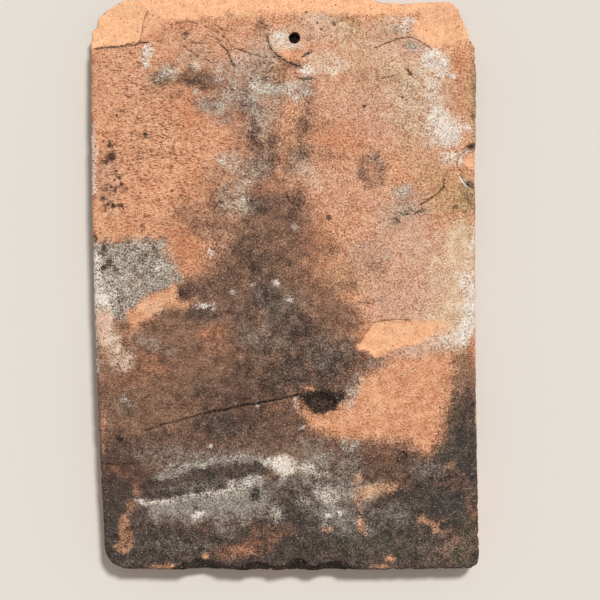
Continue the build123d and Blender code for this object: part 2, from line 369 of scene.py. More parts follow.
stains = {
    "brown": {
        "lower left": (0.95, 4.5, [
            (80, 330), (118, 332), (140, 325), (170, 312), (190, 300), (205, 282), (235, 270), (250, 330),
            (250, 390), (296, 398), (302, 416), (318, 430), (345, 440), (330, 462), (260, 458), (215, 462),
            (140, 475), (80, 500)]),
        "middle": (0.8, 5, [
            (222, 262), (236, 225), (250, 196), (300, 190), (318, 225), (326, 280), (348, 300), (362, 325),
            (358, 345), (382, 357), (364, 374), (345, 402), (300, 400), (240, 400)]),
        "tail": (0.92, 4, [
            (80, 450), (300, 440), (345, 440), (402, 440), (432, 458), (450, 430), (452, 400), (466, 375),
            (490, 370), (490, 585), (80, 585)]),
    },
    "umber": {
        "middle": (0.3, 5, [
            (240, 262), (246, 235), (254, 200), (296, 196), (302, 232), (304, 262), (306, 300), (340, 334),
            (352, 350), (368, 360), (352, 374), (340, 398), (300, 392), (262, 402), (238, 372), (244, 330),
            (236, 300)]),
        "tail": (0.72, 6, [
            (80, 436), (128, 445), (150, 470), (250, 462), (330, 470), (400, 456), (440, 456), (450, 425),
            (464, 400), (490, 395), (490, 585), (80, 585)]),
    },
    "slate": {
        "under the lichen": (0.62, 2.2, lichenPatch),
        "over the streak": (0.7, 1.7, [
            (146, 484), (150, 478), (190, 466), (215, 460), (245, 458), (268, 464), (262, 472), (240, 478),
            (222, 488), (196, 493), (170, 497), (140, 499)]),
        "tail": (0.72, 4, [
            (85, 478), (118, 480), (132, 492), (140, 512), (170, 524), (215, 530), (240, 534), (262, 522),
            (285, 506), (330, 512), (345, 518), (372, 505), (400, 490), (418, 470), (440, 460), (450, 430),
            (490, 420), (490, 585), (85, 585)]),
        "right edge": (0.42, 4.5, [
            (458, 392), (490, 385), (490, 575), (440, 560), (430, 500), (442, 460), (440, 430), (450, 405)]),
    },
    "dust": {
        "left": (0.46, 2.2, lichenPatch),
        "streak": (0.78, 0.7, streak),
        "under the streak": (0.7, 3.0, [
            (143, 502), (196, 496), (262, 480), (270, 496), (262, 514), (246, 522), (236, 516), (222, 526),
            (206, 518), (190, 524), (170, 516), (152, 516)]),
        "thin arc": (0.93, 1.2, [
            (158, 476), (190, 464), (220, 456), (262, 455), (262, 459), (220, 461), (190, 469), (160, 480)]),
    },
    "ash": {
        "left": (0.42, 2.4, lichenPatch),
        "streak's top": (0.4, 0.7, [
            (144, 501), (164, 498), (196, 491), (226, 489), (230, 480), (237, 480), (248, 475), (262, 474),
            (263, 484), (250, 486), (244, 494), (226, 497), (196, 498), (166, 502), (146, 505)]),
    },
    "cream": {
        "left arris": (0.6, 1.2, [(85, 125), (95, 125), (97, 150), (96, 196), (85, 196)]),
        "left edge": (0.75, 1.4, [(85, 248), (98, 250), (100, 300), (97, 345), (99, 372), (85, 372)]),
    },
    "milk": {
        "right edge": (0.66, 4.5, [
            (452, 226), (462, 222), (474, 232), (490, 280), (490, 312), (474, 328), (462, 343), (452, 344),
            (448, 330), (450, 300), (448, 264)]),
    },
    "bare": {
        "lower right": (0.92, 2.8, [
            (346, 410), (356, 400), (362, 380), (372, 378), (388, 369), (406, 357), (440, 352), (453, 352),
            (450, 368), (446, 388), (442, 404), (438, 425), (433, 438), (426, 449), (414, 438), (400, 431),
            (370, 434), (350, 437), (330, 432), (312, 424), (304, 413), (318, 416), (338, 411)]),
        "scrape": (0.72, 1.0, [
            (128, 320), (129, 311), (137, 309), (140, 303), (150, 300), (154, 293), (162, 293), (168, 290),
            (173, 293), (176, 298), (174, 302), (168, 305), (163, 309), (158, 312), (155, 318), (146, 317),
            (140, 321), (138, 328), (132, 325)]),
        "left foot": (0.42, 0.9, [
            (120, 520), (124, 514), (129, 522), (133, 533), (133, 544), (127, 552), (118, 553), (113, 547),
            (119, 541), (121, 530)]),
        "spall": (1, 0.25, spallPatch),
    },
    "fresh": {
        "left corner": (1, 0.7, [
            (80, 50), (96, 47), (120, 44), (142, 40), (142, 34), (146, 12), (150, 0), (150, -12),
            (80, -12)]),
        "head": (0.85, 2.2, [
            (146, 12), (142, 36), (156, 34), (166, 24), (182, 20), (250, 15), (300, 12), (300, -12),
            (150, -12)]),
        "right corner": (0.92, 1.2, [
            (300, 12), (350, 14), (380, 16), (400, 16), (420, 14), (414, 26), (413, 34), (432, 49),
            (450, 46), (462, 40), (484, 44), (484, 20), (465, -12), (300, -12)]),
        "spall": (0.9, 0.6, spallPatch),
    },
    # the burnt pit is burnt matter; the broken tail is painted shadow in its chips
    "charAndShade": {
        "shadow in the broken tail": (1, 0.4, [
            (172, 567), (184, 562), (198, 558), (212, 559), (224, 563), (240, 566), (250, 561), (262, 560),
            (272, 565), (290, 563), (292, 558), (302, 559), (310, 566), (320, 563), (335, 560), (348, 563),
            (356, 567), (356, 580), (172, 580)]),
        "burnt pit": (0.97, 1.1, [
            (297, 396), (305, 394), (309, 390), (318, 391), (325, 388), (333, 391), (347, 391), (344, 400),
            (338, 403), (336, 409), (326, 411), (317, 414), (308, 409), (303, 401)]),
    },
}

# Soft dabs: middle X and Y, half width, half height, strength, and a turn in degrees if there is one
dabs = {
    "blush": {
        "head": [
            (185, 45, 24, 24, 0.4), (240, 50, 30, 24, 0.5), (325, 60, 28, 18, 0.5), (125, 90, 40, 34, 0.3),
            (208, 60, 22, 14, 0.5), (318, 26, 26, 16, 0.8)],
        "upper right": [
            (350, 95, 44, 40, 0.5), (400, 100, 44, 60, 0.7), (400, 45, 40, 22, 0.7),
            (440, 130, 30, 40, 0.5)],
        "right": [
            (330, 190, 40, 36, 0.4), (400, 225, 44, 32, 0.85, 20), (420, 275, 40, 44, 0.7),
            (375, 265, 30, 26, 0.5), (415, 348, 40, 12, 0.9, -8), (400, 305, 44, 24, 0.75)],
        "left edge": [
            (110, 186, 16, 30, 0.6), (104, 324, 11, 20, 0.98), (122, 358, 18, 16, 0.85, 20),
            (104, 352, 12, 26, 0.7), (130, 398, 12, 8, 0.3), (108, 400, 10, 24, 0.25)],
        "middle": [(262, 175, 30, 40, 0.35), (240, 110, 36, 34, 0.4)],
    },
    "tan": {
        "head": [
            (232, 14, 24, 6, 0.5), (335, 10, 18, 8, 0.4), (345, 32, 24, 16, 0.5), (165, 76, 18, 12, 0.45)],
        "right arris": [(472, 95, 7, 48, 0.75), (452, 88, 10, 24, 0.2)],
        "right": [
            (446, 198, 30, 22, 0.6), (466, 194, 14, 22, 0.7), (412, 112, 24, 44, 0.5),
            (385, 80, 44, 26, 0.35), (462, 228, 16, 12, 0.5), (345, 280, 34, 14, 0.25),
            (432, 170, 30, 20, 0.3)],
        "lower right": [(455, 366, 10, 22, 0.3), (300, 14, 16, 12, 0.3), (320, 420, 20, 6, 0.3, 10)],
        "scrape": [(172, 300, 10, 6, 0.5)],
    },
    "moss": {
        "head": [
            (345, 28, 18, 14, 0.15), (312, 36, 5, 8, 0.4), (232, 14, 14, 4, 0.2), (411, 47, 8, 5, 0.3, 20),
            (393, 31, 14, 4, 0.2, -5), (170, 78, 14, 10, 0.3)],
        "sides": [
            (468, 196, 10, 22, 0.35), (474, 90, 4, 50, 0.4), (100, 250, 10, 6, 0.5),
            (455, 392, 10, 26, 0.2), (135, 258, 34, 16, 0.25)],
        "tail": [
            (358, 543, 22, 8, 0.45), (390, 546, 20, 7, 0.25), (470, 534, 9, 34, 0.35),
            (458, 552, 14, 5, 0.5, -8), (450, 450, 20, 14, 0.2), (410, 540, 30, 16, 0.15),
            (440, 562, 34, 6, 0.2)],
    },
    "dust": {
        "upper left": [
            (195, 60, 16, 10, 0.35), (228, 66, 22, 14, 0.45), (258, 62, 22, 14, 0.5),
            (215, 104, 26, 11, 0.45), (262, 88, 26, 14, 0.45), (228, 82, 14, 9, 0.4),
            (165, 76, 16, 10, 0.3), (262, 112, 18, 20, 0.35), (262, 165, 14, 18, 0.25),
            (222, 118, 12, 9, 0.3), (300, 165, 18, 12, 0.2), (300, 88, 14, 10, 0.35)],
        "right": [
            (408, 194, 16, 12, 0.3), (395, 215, 24, 12, 0.2), (396, 30, 16, 6, 0.25, -5),
            (372, 168, 14, 18, 0.2), (410, 47, 10, 6, 0.4, 20), (372, 252, 22, 16, 0.25)],
        "left": [
            (152, 344, 18, 7, 0.35, 20), (172, 352, 6, 6, 0.4), (126, 404, 10, 8, 0.2),
            (130, 300, 22, 9, 0.5, -30), (122, 314, 9, 7, 0.5), (154, 288, 14, 6, 0.6, -25)],
        "middle": [(280, 300, 30, 24, 0.15), (262, 340, 22, 20, 0.2), (330, 350, 26, 20, 0.12)],
        "above the streak": [
            (172, 471, 20, 6, 0.6, -14), (210, 458, 60, 9, 0.35, -5), (170, 452, 50, 9, 0.2),
            (205, 484, 50, 5, 0.2, -6), (245, 460, 30, 4, 0.3)],
        "tail": [
            (276, 511, 9, 11, 0.7), (165, 515, 24, 7, 0.35), (315, 462, 24, 12, 0.6, -20),
            (300, 480, 30, 10, 0.4), (330, 494, 20, 14, 0.7), (305, 502, 14, 8, 0.45, 30),
            (335, 518, 26, 14, 0.45), (350, 445, 12, 10, 0.5), (308, 446, 24, 8, 0.25),
            (348, 476, 16, 24, 0.45), (390, 516, 24, 14, 0.3), (425, 468, 22, 9, 0.3),
            (180, 545, 34, 8, 0.2), (228, 530, 12, 8, 0.4), (350, 532, 24, 5, 0.3),
            (352, 404, 10, 8, 0.3, -30), (440, 548, 30, 14, 0.1), (350, 505, 24, 24, 0.3),
            (262, 492, 18, 16, 0.25)],
        "under the spall": [(376, 364, 14, 8, 0.35, -10), (356, 386, 10, 18, 0.4, 25)],
    },
    "brown": {
        "upper left": [
            # the dab at 118, 50 is a painted shadow under the broken left corner
            (156, 90, 10, 12, 0.25), (118, 50, 24, 4, 0.2), (186, 38, 6, 6, 0.25), (230, 86, 26, 10, 0.25),
            (262, 70, 14, 18, 0.25), (215, 104, 26, 12, 0.25), (262, 28, 10, 10, 0.3),
            (205, 20, 30, 2.5, 0.2), (228, 58, 3, 9, 0.2, -25)],
        "left of the middle": [(188, 260, 24, 26, 0.16), (462, 366, 16, 24, 0.45)],
        "down the middle": [
            (262, 140, 32, 50, 0.48), (215, 190, 18, 30, 0.5), (190, 216, 26, 18, 0.5),
            (218, 226, 26, 20, 0.55), (272, 215, 38, 40, 0.6), (228, 262, 26, 24, 0.6),
            (205, 284, 28, 14, 0.8), (190, 288, 14, 12, 0.7), (252, 185, 30, 30, 0.4)],
        "middle": [
            (338, 305, 28, 22, 0.4), (352, 286, 12, 5, 0.4), (318, 262, 20, 30, 0.3),
            (345, 262, 30, 30, 0.2)],
        "beside the hole": [
            (306, 98, 12, 24, 0.45), (300, 150, 18, 34, 0.45), (316, 124, 16, 12, 0.3),
            (325, 155, 20, 9, 0.3)],
        "under the spall": [
            (372, 362, 12, 7, 0.45, -10), (463, 382, 12, 34, 0.6), (352, 384, 8, 18, 0.4, 25),
            (448, 370, 22, 30, 0.2)],
        "left": [(122, 326, 10, 14, 0.6), (162, 285, 18, 6, 0.85, -18), (112, 158, 12, 10, 0.2)],
    },
    "umber": {
        "blotch": [(196, 79, 17, 13, 0.4, 10), (209, 84, 12, 9, 0.25, 8), (232, 94, 18, 7, 0.35)],
        # the thin dabs along the dish's lower rim, from 268, 46 round to 307, 55, are painted shadow under
        # the rim; the broader ones are stain
        "under the hole, with the dish rim's shadow": [
            (292, 66, 12, 5, 0.7), (276, 57, 10, 3.5, 0.7, 38), (275, 80, 16, 10, 0.25),
            (307, 55, 5, 2, 0.75, -15), (308, 79, 7, 2.4, 0.6), (280, 72, 14, 8, 0.4),
            (268, 46, 3, 10, 0.4, -15), (323, 60, 4, 1.6, 0.4, 40)],
        "upper middle": [
            (262, 150, 18, 30, 0.45), (269, 170, 10, 10, 0.5), (302, 131, 8, 14, 0.55, 15),
            (222, 206, 12, 14, 0.45), (255, 125, 10, 20, 0.4), (300, 155, 12, 12, 0.35),
            (184, 208, 12, 9, 0.2), (212, 232, 20, 12, 0.3), (246, 104, 10, 10, 0.35)],
        "middle": [
            (260, 204, 12, 11, 0.45), (296, 204, 7, 8, 0.45, 40), (250, 245, 20, 20, 0.3),
            (298, 246, 14, 12, 0.12), (248, 237, 5, 4, 0.5), (262, 278, 24, 24, 0.35),
            (266, 298, 18, 16, 0.4), (226, 272, 18, 14, 0.35), (210, 290, 24, 9, 0.4)],
        "lower middle": [
            (250, 310, 24, 20, 0.3), (285, 318, 26, 22, 0.35), (320, 325, 22, 16, 0.25),
            (290, 345, 34, 26, 0.3), (335, 360, 30, 24, 0.5), (275, 376, 44, 18, 0.5),
            (350, 358, 12, 12, 0.4, 20), (352, 345, 8, 7, 0.4), (325, 386, 24, 8, 0.6),
            (265, 396, 30, 12, 0.4, -8), (344, 312, 18, 12, 0.25)],
        "left": [
            (187, 293, 10, 9, 0.7), (205, 313, 22, 8, 0.6), (165, 314, 16, 7, 0.45), (150, 326, 14, 6, 0.3),
            (118, 445, 22, 14, 0.45), (190, 400, 30, 16, 0.15), (140, 412, 24, 12, 0.15),
            (235, 375, 24, 20, 0.3), (264, 360, 28, 26, 0.25), (120, 376, 20, 10, 0.1)],
        "under the crack": [
            (265, 402, 74, 24, 0.45, -4), (215, 398, 30, 22, 0.25), (235, 430, 60, 22, 0.45, -6),
            (228, 422, 34, 14, 0.5, -10), (275, 442, 20, 10, 0.35), (262, 412, 34, 8, 0.4, -10),
            (296, 420, 12, 14, 0.35)],
        "tail": [
            (110, 530, 12, 40, 0.5), (118, 474, 28, 24, 0.62), (310, 515, 24, 12, 0.3),
            (160, 440, 44, 12, 0.3), (300, 512, 50, 20, 0.4), (270, 540, 44, 20, 0.35),
            (232, 470, 34, 9, 0.4), (345, 462, 26, 12, 0.3), (380, 456, 40, 18, 0.5),
            (395, 500, 26, 14, 0.35), (440, 500, 30, 30, 0.3), (456, 418, 20, 18, 0.3),
            (462, 425, 18, 34, 0.4), (115, 540, 24, 30, 0.3), (430, 550, 40, 14, 0.2)],
    },
    "slate": {
        "upper left": [
            (197, 80, 18, 13, 0.6, 10), (212, 85, 14, 8, 0.2), (176, 93, 9, 9, 0.35, 40),
            (208, 105, 14, 7, 0.4), (185, 36, 5, 4, 0.5), (145, 136, 7, 4, 0.4, 20),
            (140, 152, 22, 7, 0.15), (160, 80, 12, 8, 0.3), (225, 120, 8, 6, 0.3), (236, 88, 18, 9, 0.3),
            (168, 66, 14, 6, 0.2)],
        "by the hole": [
            (262, 30, 8, 9, 0.4), (262, 72, 14, 14, 0.4), (282, 92, 12, 9, 0.35), (248, 108, 10, 9, 0.5),
            (256, 128, 9, 16, 0.4), (304, 150, 9, 9, 0.4), (270, 148, 18, 20, 0.3), (245, 55, 10, 10, 0.2)],
        "right smudge": [
            (380, 168, 7, 16, 0.55, -12), (368, 159, 11, 5, 0.4), (363, 176, 7, 9, 0.45),
            (374, 186, 14, 5, 0.4), (330, 155, 16, 6, 0.2)],
        "right flecks": [
            (403, 214, 3.5, 2.4, 0.7), (410, 210, 3.5, 2.6, 0.6), (417, 213, 3, 2.4, 0.65),
            (422, 210, 2.4, 3, 0.6), (397, 206, 2.4, 2.4, 0.5), (396, 221, 4, 3, 0.5, 30),
            (406, 204, 3, 2, 0.4), (400, 198, 9, 8, 0.2), (372, 270, 16, 12, 0.2), (330, 250, 12, 10, 0.25),
            (411, 47, 8, 5, 0.45, 20), (393, 30, 14, 5, 0.15, -5), (403, 92, 10, 14, 0.15),
            (390, 222, 10, 8, 0.2), (380, 301, 6, 4, 0.35)],
        "middle": [
            (262, 268, 18, 16, 0.4), (240, 250, 12, 12, 0.3), (270, 295, 22, 14, 0.45),
            (286, 318, 24, 20, 0.4), (300, 350, 26, 24, 0.45), (290, 376, 34, 14, 0.45),
            (250, 338, 22, 16, 0.4), (338, 352, 18, 14, 0.4), (326, 372, 24, 14, 0.4),
            (255, 208, 12, 8, 0.25), (222, 200, 9, 12, 0.3), (316, 330, 16, 14, 0.2),
            (238, 312, 16, 12, 0.25)],
        "left": [
            (205, 315, 16, 6, 0.45), (124, 322, 9, 9, 0.35), (255, 436, 44, 14, 0.25, -5),
            (204, 385, 16, 10, 0.35), (126, 404, 10, 9, 0.2), (220, 426, 26, 12, 0.5),
            (160, 442, 30, 12, 0.3), (175, 456, 44, 9, 0.25), (315, 440, 20, 8, 0.3),
            (160, 348, 14, 6, 0.2)],
        "tail": [
            # the dab at 256, 493 is painted shade in a small hole
            (290, 492, 34, 18, 0.5), (108, 545, 18, 26, 0.65), (256, 493, 7, 9, 0.9, -20),
            (290, 515, 40, 14, 0.35), (434, 496, 20, 22, 0.75), (456, 500, 18, 20, 0.4),
            (385, 522, 30, 16, 0.2), (350, 540, 44, 16, 0.35), (455, 552, 16, 6, 0.4, -8),
            (248, 532, 12, 6, 0.3), (440, 452, 16, 14, 0.3), (155, 545, 44, 16, 0.3),
            (320, 470, 22, 10, 0.3)],
    },
    "rust": {
        "head": [(218, 52, 18, 10, 0.3, 30), (196, 40, 12, 6, 0.2), (164, 104, 20, 8, 0.25)],
        "right": [(454, 98, 11, 26, 0.5), (456, 62, 8, 10, 0.4), (330, 134, 30, 14, 0.25)],
        "middle": [
            (188, 258, 18, 22, 0.5), (182, 236, 12, 10, 0.3), (215, 332, 18, 8, 0.4, -10),
            (308, 388, 9, 4, 0.2), (262, 188, 24, 10, 0.25), (322, 250, 20, 26, 0.2),
            (130, 362, 44, 26, 0.15), (148, 366, 20, 12, 0.15), (220, 350, 30, 10, 0.1),
            (275, 406, 22, 6, 0.1, -8)],
        "tail": [
            (266, 536, 26, 12, 0.18, -20), (240, 550, 32, 9, 0.21, -5), (452, 545, 26, 20, 0.13),
            (470, 505, 8, 24, 0.08), (380, 456, 26, 10, 0.06), (120, 470, 16, 8, 0.1),
            (450, 480, 20, 12, 0.12), (476, 515, 5, 30, 0.12)],
    },
    "ash": {
        "head": [
            (210, 52, 26, 18, 0.3), (228, 100, 24, 8, 0.2), (148, 54, 8, 8, 0.35), (168, 74, 14, 9, 0.35),
            (258, 48, 14, 12, 0.35), (284, 92, 24, 14, 0.3), (240, 92, 24, 8, 0.25), (190, 60, 14, 8, 0.25),
            (400, 190, 10, 8, 0.25), (230, 70, 20, 14, 0.25), (262, 60, 20, 12, 0.35)],
        "upper middle": [
            (258, 80, 12, 9, 0.35), (272, 88, 14, 9, 0.4, 20), (228, 160, 12, 12, 0.4),
            (236, 200, 18, 18, 0.42), (248, 176, 14, 16, 0.3), (262, 116, 16, 26, 0.2),
            (410, 200, 22, 18, 0.2), (212, 108, 16, 8, 0.25), (300, 88, 14, 12, 0.2)],
        "left": [
            (168, 270, 13, 11, 0.42, 20), (150, 280, 16, 10, 0.35), (105, 292, 12, 14, 0.6),
            (128, 254, 16, 7, 0.25), (112, 278, 6, 12, 0.4), (148, 266, 12, 6, 0.25)],
        "tail": [
            (272, 463, 12, 6, 0.6), (306, 467, 10, 5, 0.5), (318, 457, 16, 4, 0.35, -25),
            (328, 496, 11, 9, 0.65), (318, 488, 5, 8, 0.4), (276, 511, 6, 9, 0.45), (348, 443, 9, 6, 0.35),
            (336, 510, 10, 5, 0.35, 20), (304, 500, 8, 4, 0.35, 30), (320, 474, 12, 4, 0.35),
            (205, 461, 46, 3.5, 0.3, -8), (366, 528, 3, 8, 0.3)],
    },
    "cream": {
        "head": [
            (146, 64, 5, 4, 0.9, 30), (149, 52, 7, 8, 0.45), (196, 66, 4, 4, 0.75),
            (172, 72, 9, 3, 0.4, -10), (196, 93, 3, 2.5, 0.5), (220, 81, 3.5, 2, 0.55),
            (282, 40, 15, 11, 0.5, 20), (294, 46, 9, 3, 0.9, 5), (307, 71, 9, 6, 0.7),
            (330, 68, 16, 9, 0.25), (262, 88, 14, 9, 0.25), (294, 92, 10, 10, 0.35), (236, 60, 12, 9, 0.3),
            (318, 36, 18, 9, 0.3), (407, 26, 9, 8, 0.5), (315, 24, 22, 10, 0.3), (420, 48, 14, 8, 0.15)],
        "upper right": [
            (432, 60, 12, 11, 0.8, 20), (440, 69, 10, 8, 0.7, 40), (450, 77, 9, 3, 0.55, 10),
            (432, 88, 10, 13, 0.4), (438, 117, 11, 11, 0.75), (449, 132, 14, 15, 0.99),
            (434, 132, 12, 16, 0.35), (466, 128, 8, 4, 0.5, 30), (449, 141, 12, 7, 0.5),
            (448, 158, 10, 7, 0.5), (460, 160, 2.2, 8, 0.95, 12), (468, 151, 7, 2, 0.6, -20),
            (464, 183, 9, 2, 0.8, 48), (415, 100, 26, 40, 0.15)],
        "right edge": [
            (464, 278, 7, 12, 0.5), (470, 300, 8, 26, 0.85), (466, 328, 9, 18, 0.85, 15),
            (450, 340, 14, 10, 0.35), (434, 336, 16, 8, 0.2), (471, 240, 4, 14, 0.4)],
        "left": [
            (101, 295, 12, 13, 0.5), (105, 299, 6, 6, 0.7), (112, 341, 5, 8, 0.5, -25),
            (150, 307, 12, 5, 0.4, -25), (104, 323, 11, 17, 0.7), (112, 340, 9, 14, 0.3, -25),
            (123, 359, 13, 13, 0.4), (140, 246, 26, 4, 0.15), (160, 268, 8, 8, 0.25), (97, 268, 6, 20, 0.6),
            (110, 298, 12, 10, 0.4), (202, 306, 8, 2.4, 0.7, -5), (214, 306, 2.5, 4, 0.5),
            (211, 253, 2.6, 4, 0.9), (103, 322, 8, 10, 0.2)],
        "tail": [
            (285, 466, 9, 11, 0.98), (274, 461, 9, 5, 0.6, -10), (306, 466, 8, 3, 0.4),
            (198, 514, 7, 3, 0.85, -20), (232, 483, 3.5, 5, 0.5), (245, 483, 14, 4, 0.3, -20),
            (212, 492, 24, 1.6, 0.4, -7), (140, 500, 6, 2, 0.8, 15), (162, 501, 14, 1.6, 0.6, -8),
            (185, 495, 9, 1.5, 0.5, -12), (341, 512, 4, 2.5, 0.75), (328, 515, 3, 2.2, 0.8),
            (250, 478, 10, 3, 0.4, -10), (199, 514, 6, 3, 0.5, -20), (210, 446, 3, 1.6, 0.7, -25),
            (204, 466, 3, 1.6, 0.6, 40), (330, 494, 8, 10, 0.2)],
        "beside the pit": [
            (350, 404, 8, 4, 0.4, -35), (360, 388, 8, 12, 0.2, 20), (350, 392, 5, 3, 0.2),
            (296, 402, 2.4, 6, 0.5, -10)],
        "flecks": [
            (277, 283, 3.2, 3, 0.8), (290, 300, 3.5, 2.4, 0.7), (233, 292, 3, 2.5, 0.45),
            (253, 285, 2.5, 2, 0.5), (127, 399, 5, 2.5, 0.45, 30), (258, 404, 2, 4, 0.5),
            (245, 199, 5, 5, 0.5), (222, 160, 5, 5, 0.4), (435, 406, 3, 3, 0.5), (436, 416, 3, 3, 0.55),
            (303, 427, 4, 1.8, 0.6, -25), (295, 228, 4, 4, 0.2)],
    },
    "milk": {
        "right edge": [
            (458, 245, 18, 24, 0.4), (445, 280, 22, 40, 0.45), (440, 318, 28, 20, 0.45),
            (455, 335, 18, 16, 0.5), (432, 350, 26, 7, 0.3), (418, 250, 24, 24, 0.2)],
        "upper right": [
            (435, 62, 16, 16, 0.7), (440, 90, 20, 22, 0.35), (442, 125, 20, 22, 0.5),
            (410, 90, 30, 40, 0.25), (370, 50, 40, 26, 0.35), (390, 25, 20, 9, 0.4),
            (320, 28, 28, 14, 0.45), (322, 66, 24, 14, 0.45), (312, 178, 24, 14, 0.25),
            (282, 42, 18, 13, 0.7, 10), (455, 160, 14, 8, 0.4)],
        "left": [
            (103, 323, 11, 18, 0.3), (110, 338, 9, 14, 0.3, -25), (122, 359, 14, 14, 0.2),
            (104, 295, 12, 14, 0.4), (150, 308, 18, 8, 0.8, -25), (164, 298, 10, 5, 0.7, -20),
            (108, 345, 12, 30, 0.15), (284, 465, 14, 10, 0.6)],
        "tail": [(370, 491, 18, 9, 0.45, -15), (330, 494, 10, 8, 0.3), (305, 470, 12, 6, 0.2)],
    },
    "bare": {
        "light": [
            (205, 46, 46, 26, 0.3), (262, 58, 24, 20, 0.2), (112, 108, 28, 44, 0.4),
            (115, 192, 22, 22, 0.3), (300, 34, 14, 14, 0.3), (262, 140, 20, 26, 0.12),
            (320, 32, 20, 14, 0.4), (215, 60, 24, 10, 0.25)],
        "head": [
            # the dab at 291, 55 is a painted highlight on the dish's lit lower wall
            (246, 32, 9, 7, 0.6), (291, 55, 12, 4.5, 0.9, 5), (224, 50, 12, 10, 0.3, 30),
            (165, 185, 44, 32, 0.6), (285, 18, 28, 12, 0.4), (220, 34, 22, 10, 0.3),
            (163, 105, 10, 8, 0.35)],
        "middle": [
            (293, 136, 4, 12, 0.4, -12), (312, 140, 3, 5, 0.35), (190, 262, 14, 14, 0.15),
            (350, 297, 13, 8, 0.4), (103, 324, 11, 16, 0.45), (114, 345, 16, 16, 0.2),
            (123, 361, 14, 12, 0.2), (183, 303, 10, 3, 0.35, 10), (318, 272, 16, 14, 0.15),
            (309, 388, 6, 4, 0.3), (298, 402, 3, 7, 0.4)],
        "tail": [
            (357, 478, 6, 6, 0.3), (366, 492, 11, 7, 0.45, -15), (386, 487, 14, 6, 0.35, -8),
            (358, 500, 5, 4, 0.3), (360, 514, 2, 10, 0.4, 8), (362, 527, 4, 9, 0.6),
            (428, 521, 9, 3, 0.45, 15), (435, 527, 4, 8, 0.5), (421, 518, 4, 6, 0.35),
            (442, 520, 6, 3, 0.3, -20), (390, 558, 5.5, 3.5, 0.9), (327, 529, 8, 4, 0.3),
            (165, 566, 20, 3, 0.55), (206, 556, 3, 4, 0.8), (246, 551, 14, 5, 0.3, -20),
            (137, 490, 3.5, 8, 0.22, -10), (104, 430, 3, 26, 0.35), (130, 506, 4, 9, 0.35),
            (380, 566, 10, 2.5, 0.5), (476, 350, 3, 20, 0.75), (476, 414, 2, 14, 0.5),
            (450, 465, 6, 5, 0.2, -30)],
    },
    "fresh": {
        "by the spall": [
            (373, 390, 8, 16, 0.55, 10), (432, 331, 12, 8, 0.4), (384, 404, 16, 10, 0.35),
            (440, 326, 12, 7, 0.5)],
        "scrape": [(148, 308, 18, 8, 0.3, -25), (168, 297, 10, 5, 0.3, -15)],
        "side chip": [(471, 160, 6, 9, 0.8), (468, 175, 6, 5, 0.6)],
    },
    # burnt matter, and painted shade in the pits, chips and small holes, with painted shadow at the tail's
    # corner
    "charAndShade": {
        "left pits": [
            (111, 157, 7, 5, 0.85, -30), (104, 162, 4, 2.5, 0.6), (112, 145, 3.5, 6, 0.55, -30),
            (118, 176, 6, 2.6, 0.5, 20), (108, 185, 3, 4, 0.5), (111, 192, 9, 2.6, 0.4, 10),
            (117, 187, 4, 2.6, 0.4), (104, 199, 4, 2.6, 0.5, -40), (105, 206, 3, 3.5, 0.4),
            (112, 206, 4, 4, 0.45), (121, 206, 4, 3, 0.4), (95, 240, 4, 4, 0.5), (105, 250, 6, 4, 0.5),
            (110, 263, 5, 5, 0.8), (93, 292, 3, 4, 0.5)],
        "by the scrape": [(183, 293, 7, 4, 0.4), (160, 314, 9, 2.5, 0.5, -15)],
        "small pits": [
            (329, 218, 3.5, 4, 0.6), (290, 265, 3, 3, 0.5), (253, 268, 4, 3, 0.5),
            (121, 438, 6, 3, 0.85, 20), (300, 432, 5, 2.6, 0.7, -20), (455, 208, 4, 2.5, 0.5),
            (471, 147, 5, 4, 0.85), (471, 184, 6, 3, 0.8, 20), (403, 453, 5, 5, 0.3),
            (273, 175, 5, 4, 0.35), (238, 348, 3, 2, 0.5), (186, 37, 3, 4, 0.3)],
        "streak": [(256, 493, 5.5, 8.5, 0.85, -20), (196, 507, 3.5, 2.5, 0.8)],
        "shadow at the tail's corner": [(118, 569, 14, 4, 0.7)],
    },
    "combed": {
        "left": [
            (150, 160, 64, 100, 0.9), (135, 80, 40, 44, 0.7), (225, 50, 44, 36, 0.55),
            (240, 150, 40, 70, 0.5), (275, 70, 30, 30, 0.6)],
        "tail": [(130, 490, 30, 50, 0.4), (180, 350, 76, 44, 0.7), (300, 300, 60, 50, 0.25)],
    },
}

stainEdges = {
    "dab": (1.35, 0.35),  # where a dab starts and is whole, in its half widths
    "dabRagged": 0.3,
    "stainRagged": (0.7, 0.35),  # for each mm of softness, and besides
}


def dabOf(x, y, width, height, strength, turn=0):
    across, up = ((flat - onTile((x, y))) * picture["pixelsPerMm"]).T
    c, s = math.cos(math.radians(turn)), math.sin(math.radians(turn))
    out = np.hypot((across * c - up * s) / width, (across * s + up * c) / height)
    return strength * smoothstep(*stainEdges["dab"], out + stainEdges["dabRagged"] * ragged)


def stainOf(strength, soft, outline):
    bySoftness, besides = stainEdges["stainRagged"]
    inside = depthInside(flat, onTile(outline)) + (bySoftness * soft + besides) * ragged
    return strength * smoothstep(-soft, soft, inside)


def coverage(name):
    left = np.ones(len(points))
    for stain in stains.get(name, {}).values():
        left *= 1 - stainOf(*stain)
    for group in dabs[name].values():
        for dab in group:
            left *= 1 - dabOf(*dab)
    return 1 - left


layers = {name: coverage(name) for name in dabs}
print("stains laid out")


def broadRelief():
    # height over the solid in mm, of what is too broad to hold dirt
    height = uneven("undulation") + layers["fresh"] * uneven("wavy break")
    crusted = layers["ash"] + slab["creamCrust"] * layers["cream"]
    height += crusted * (slab["crustRise"] + uneven("crust"))
    for depth, soft, outline in damage["grazes"].values():
        inside = depthInside(flat, onTile(outline)) + damage["grazeRagged"] * soft * ragged
        height -= depth * smoothstep(-soft, soft, inside)
    return height


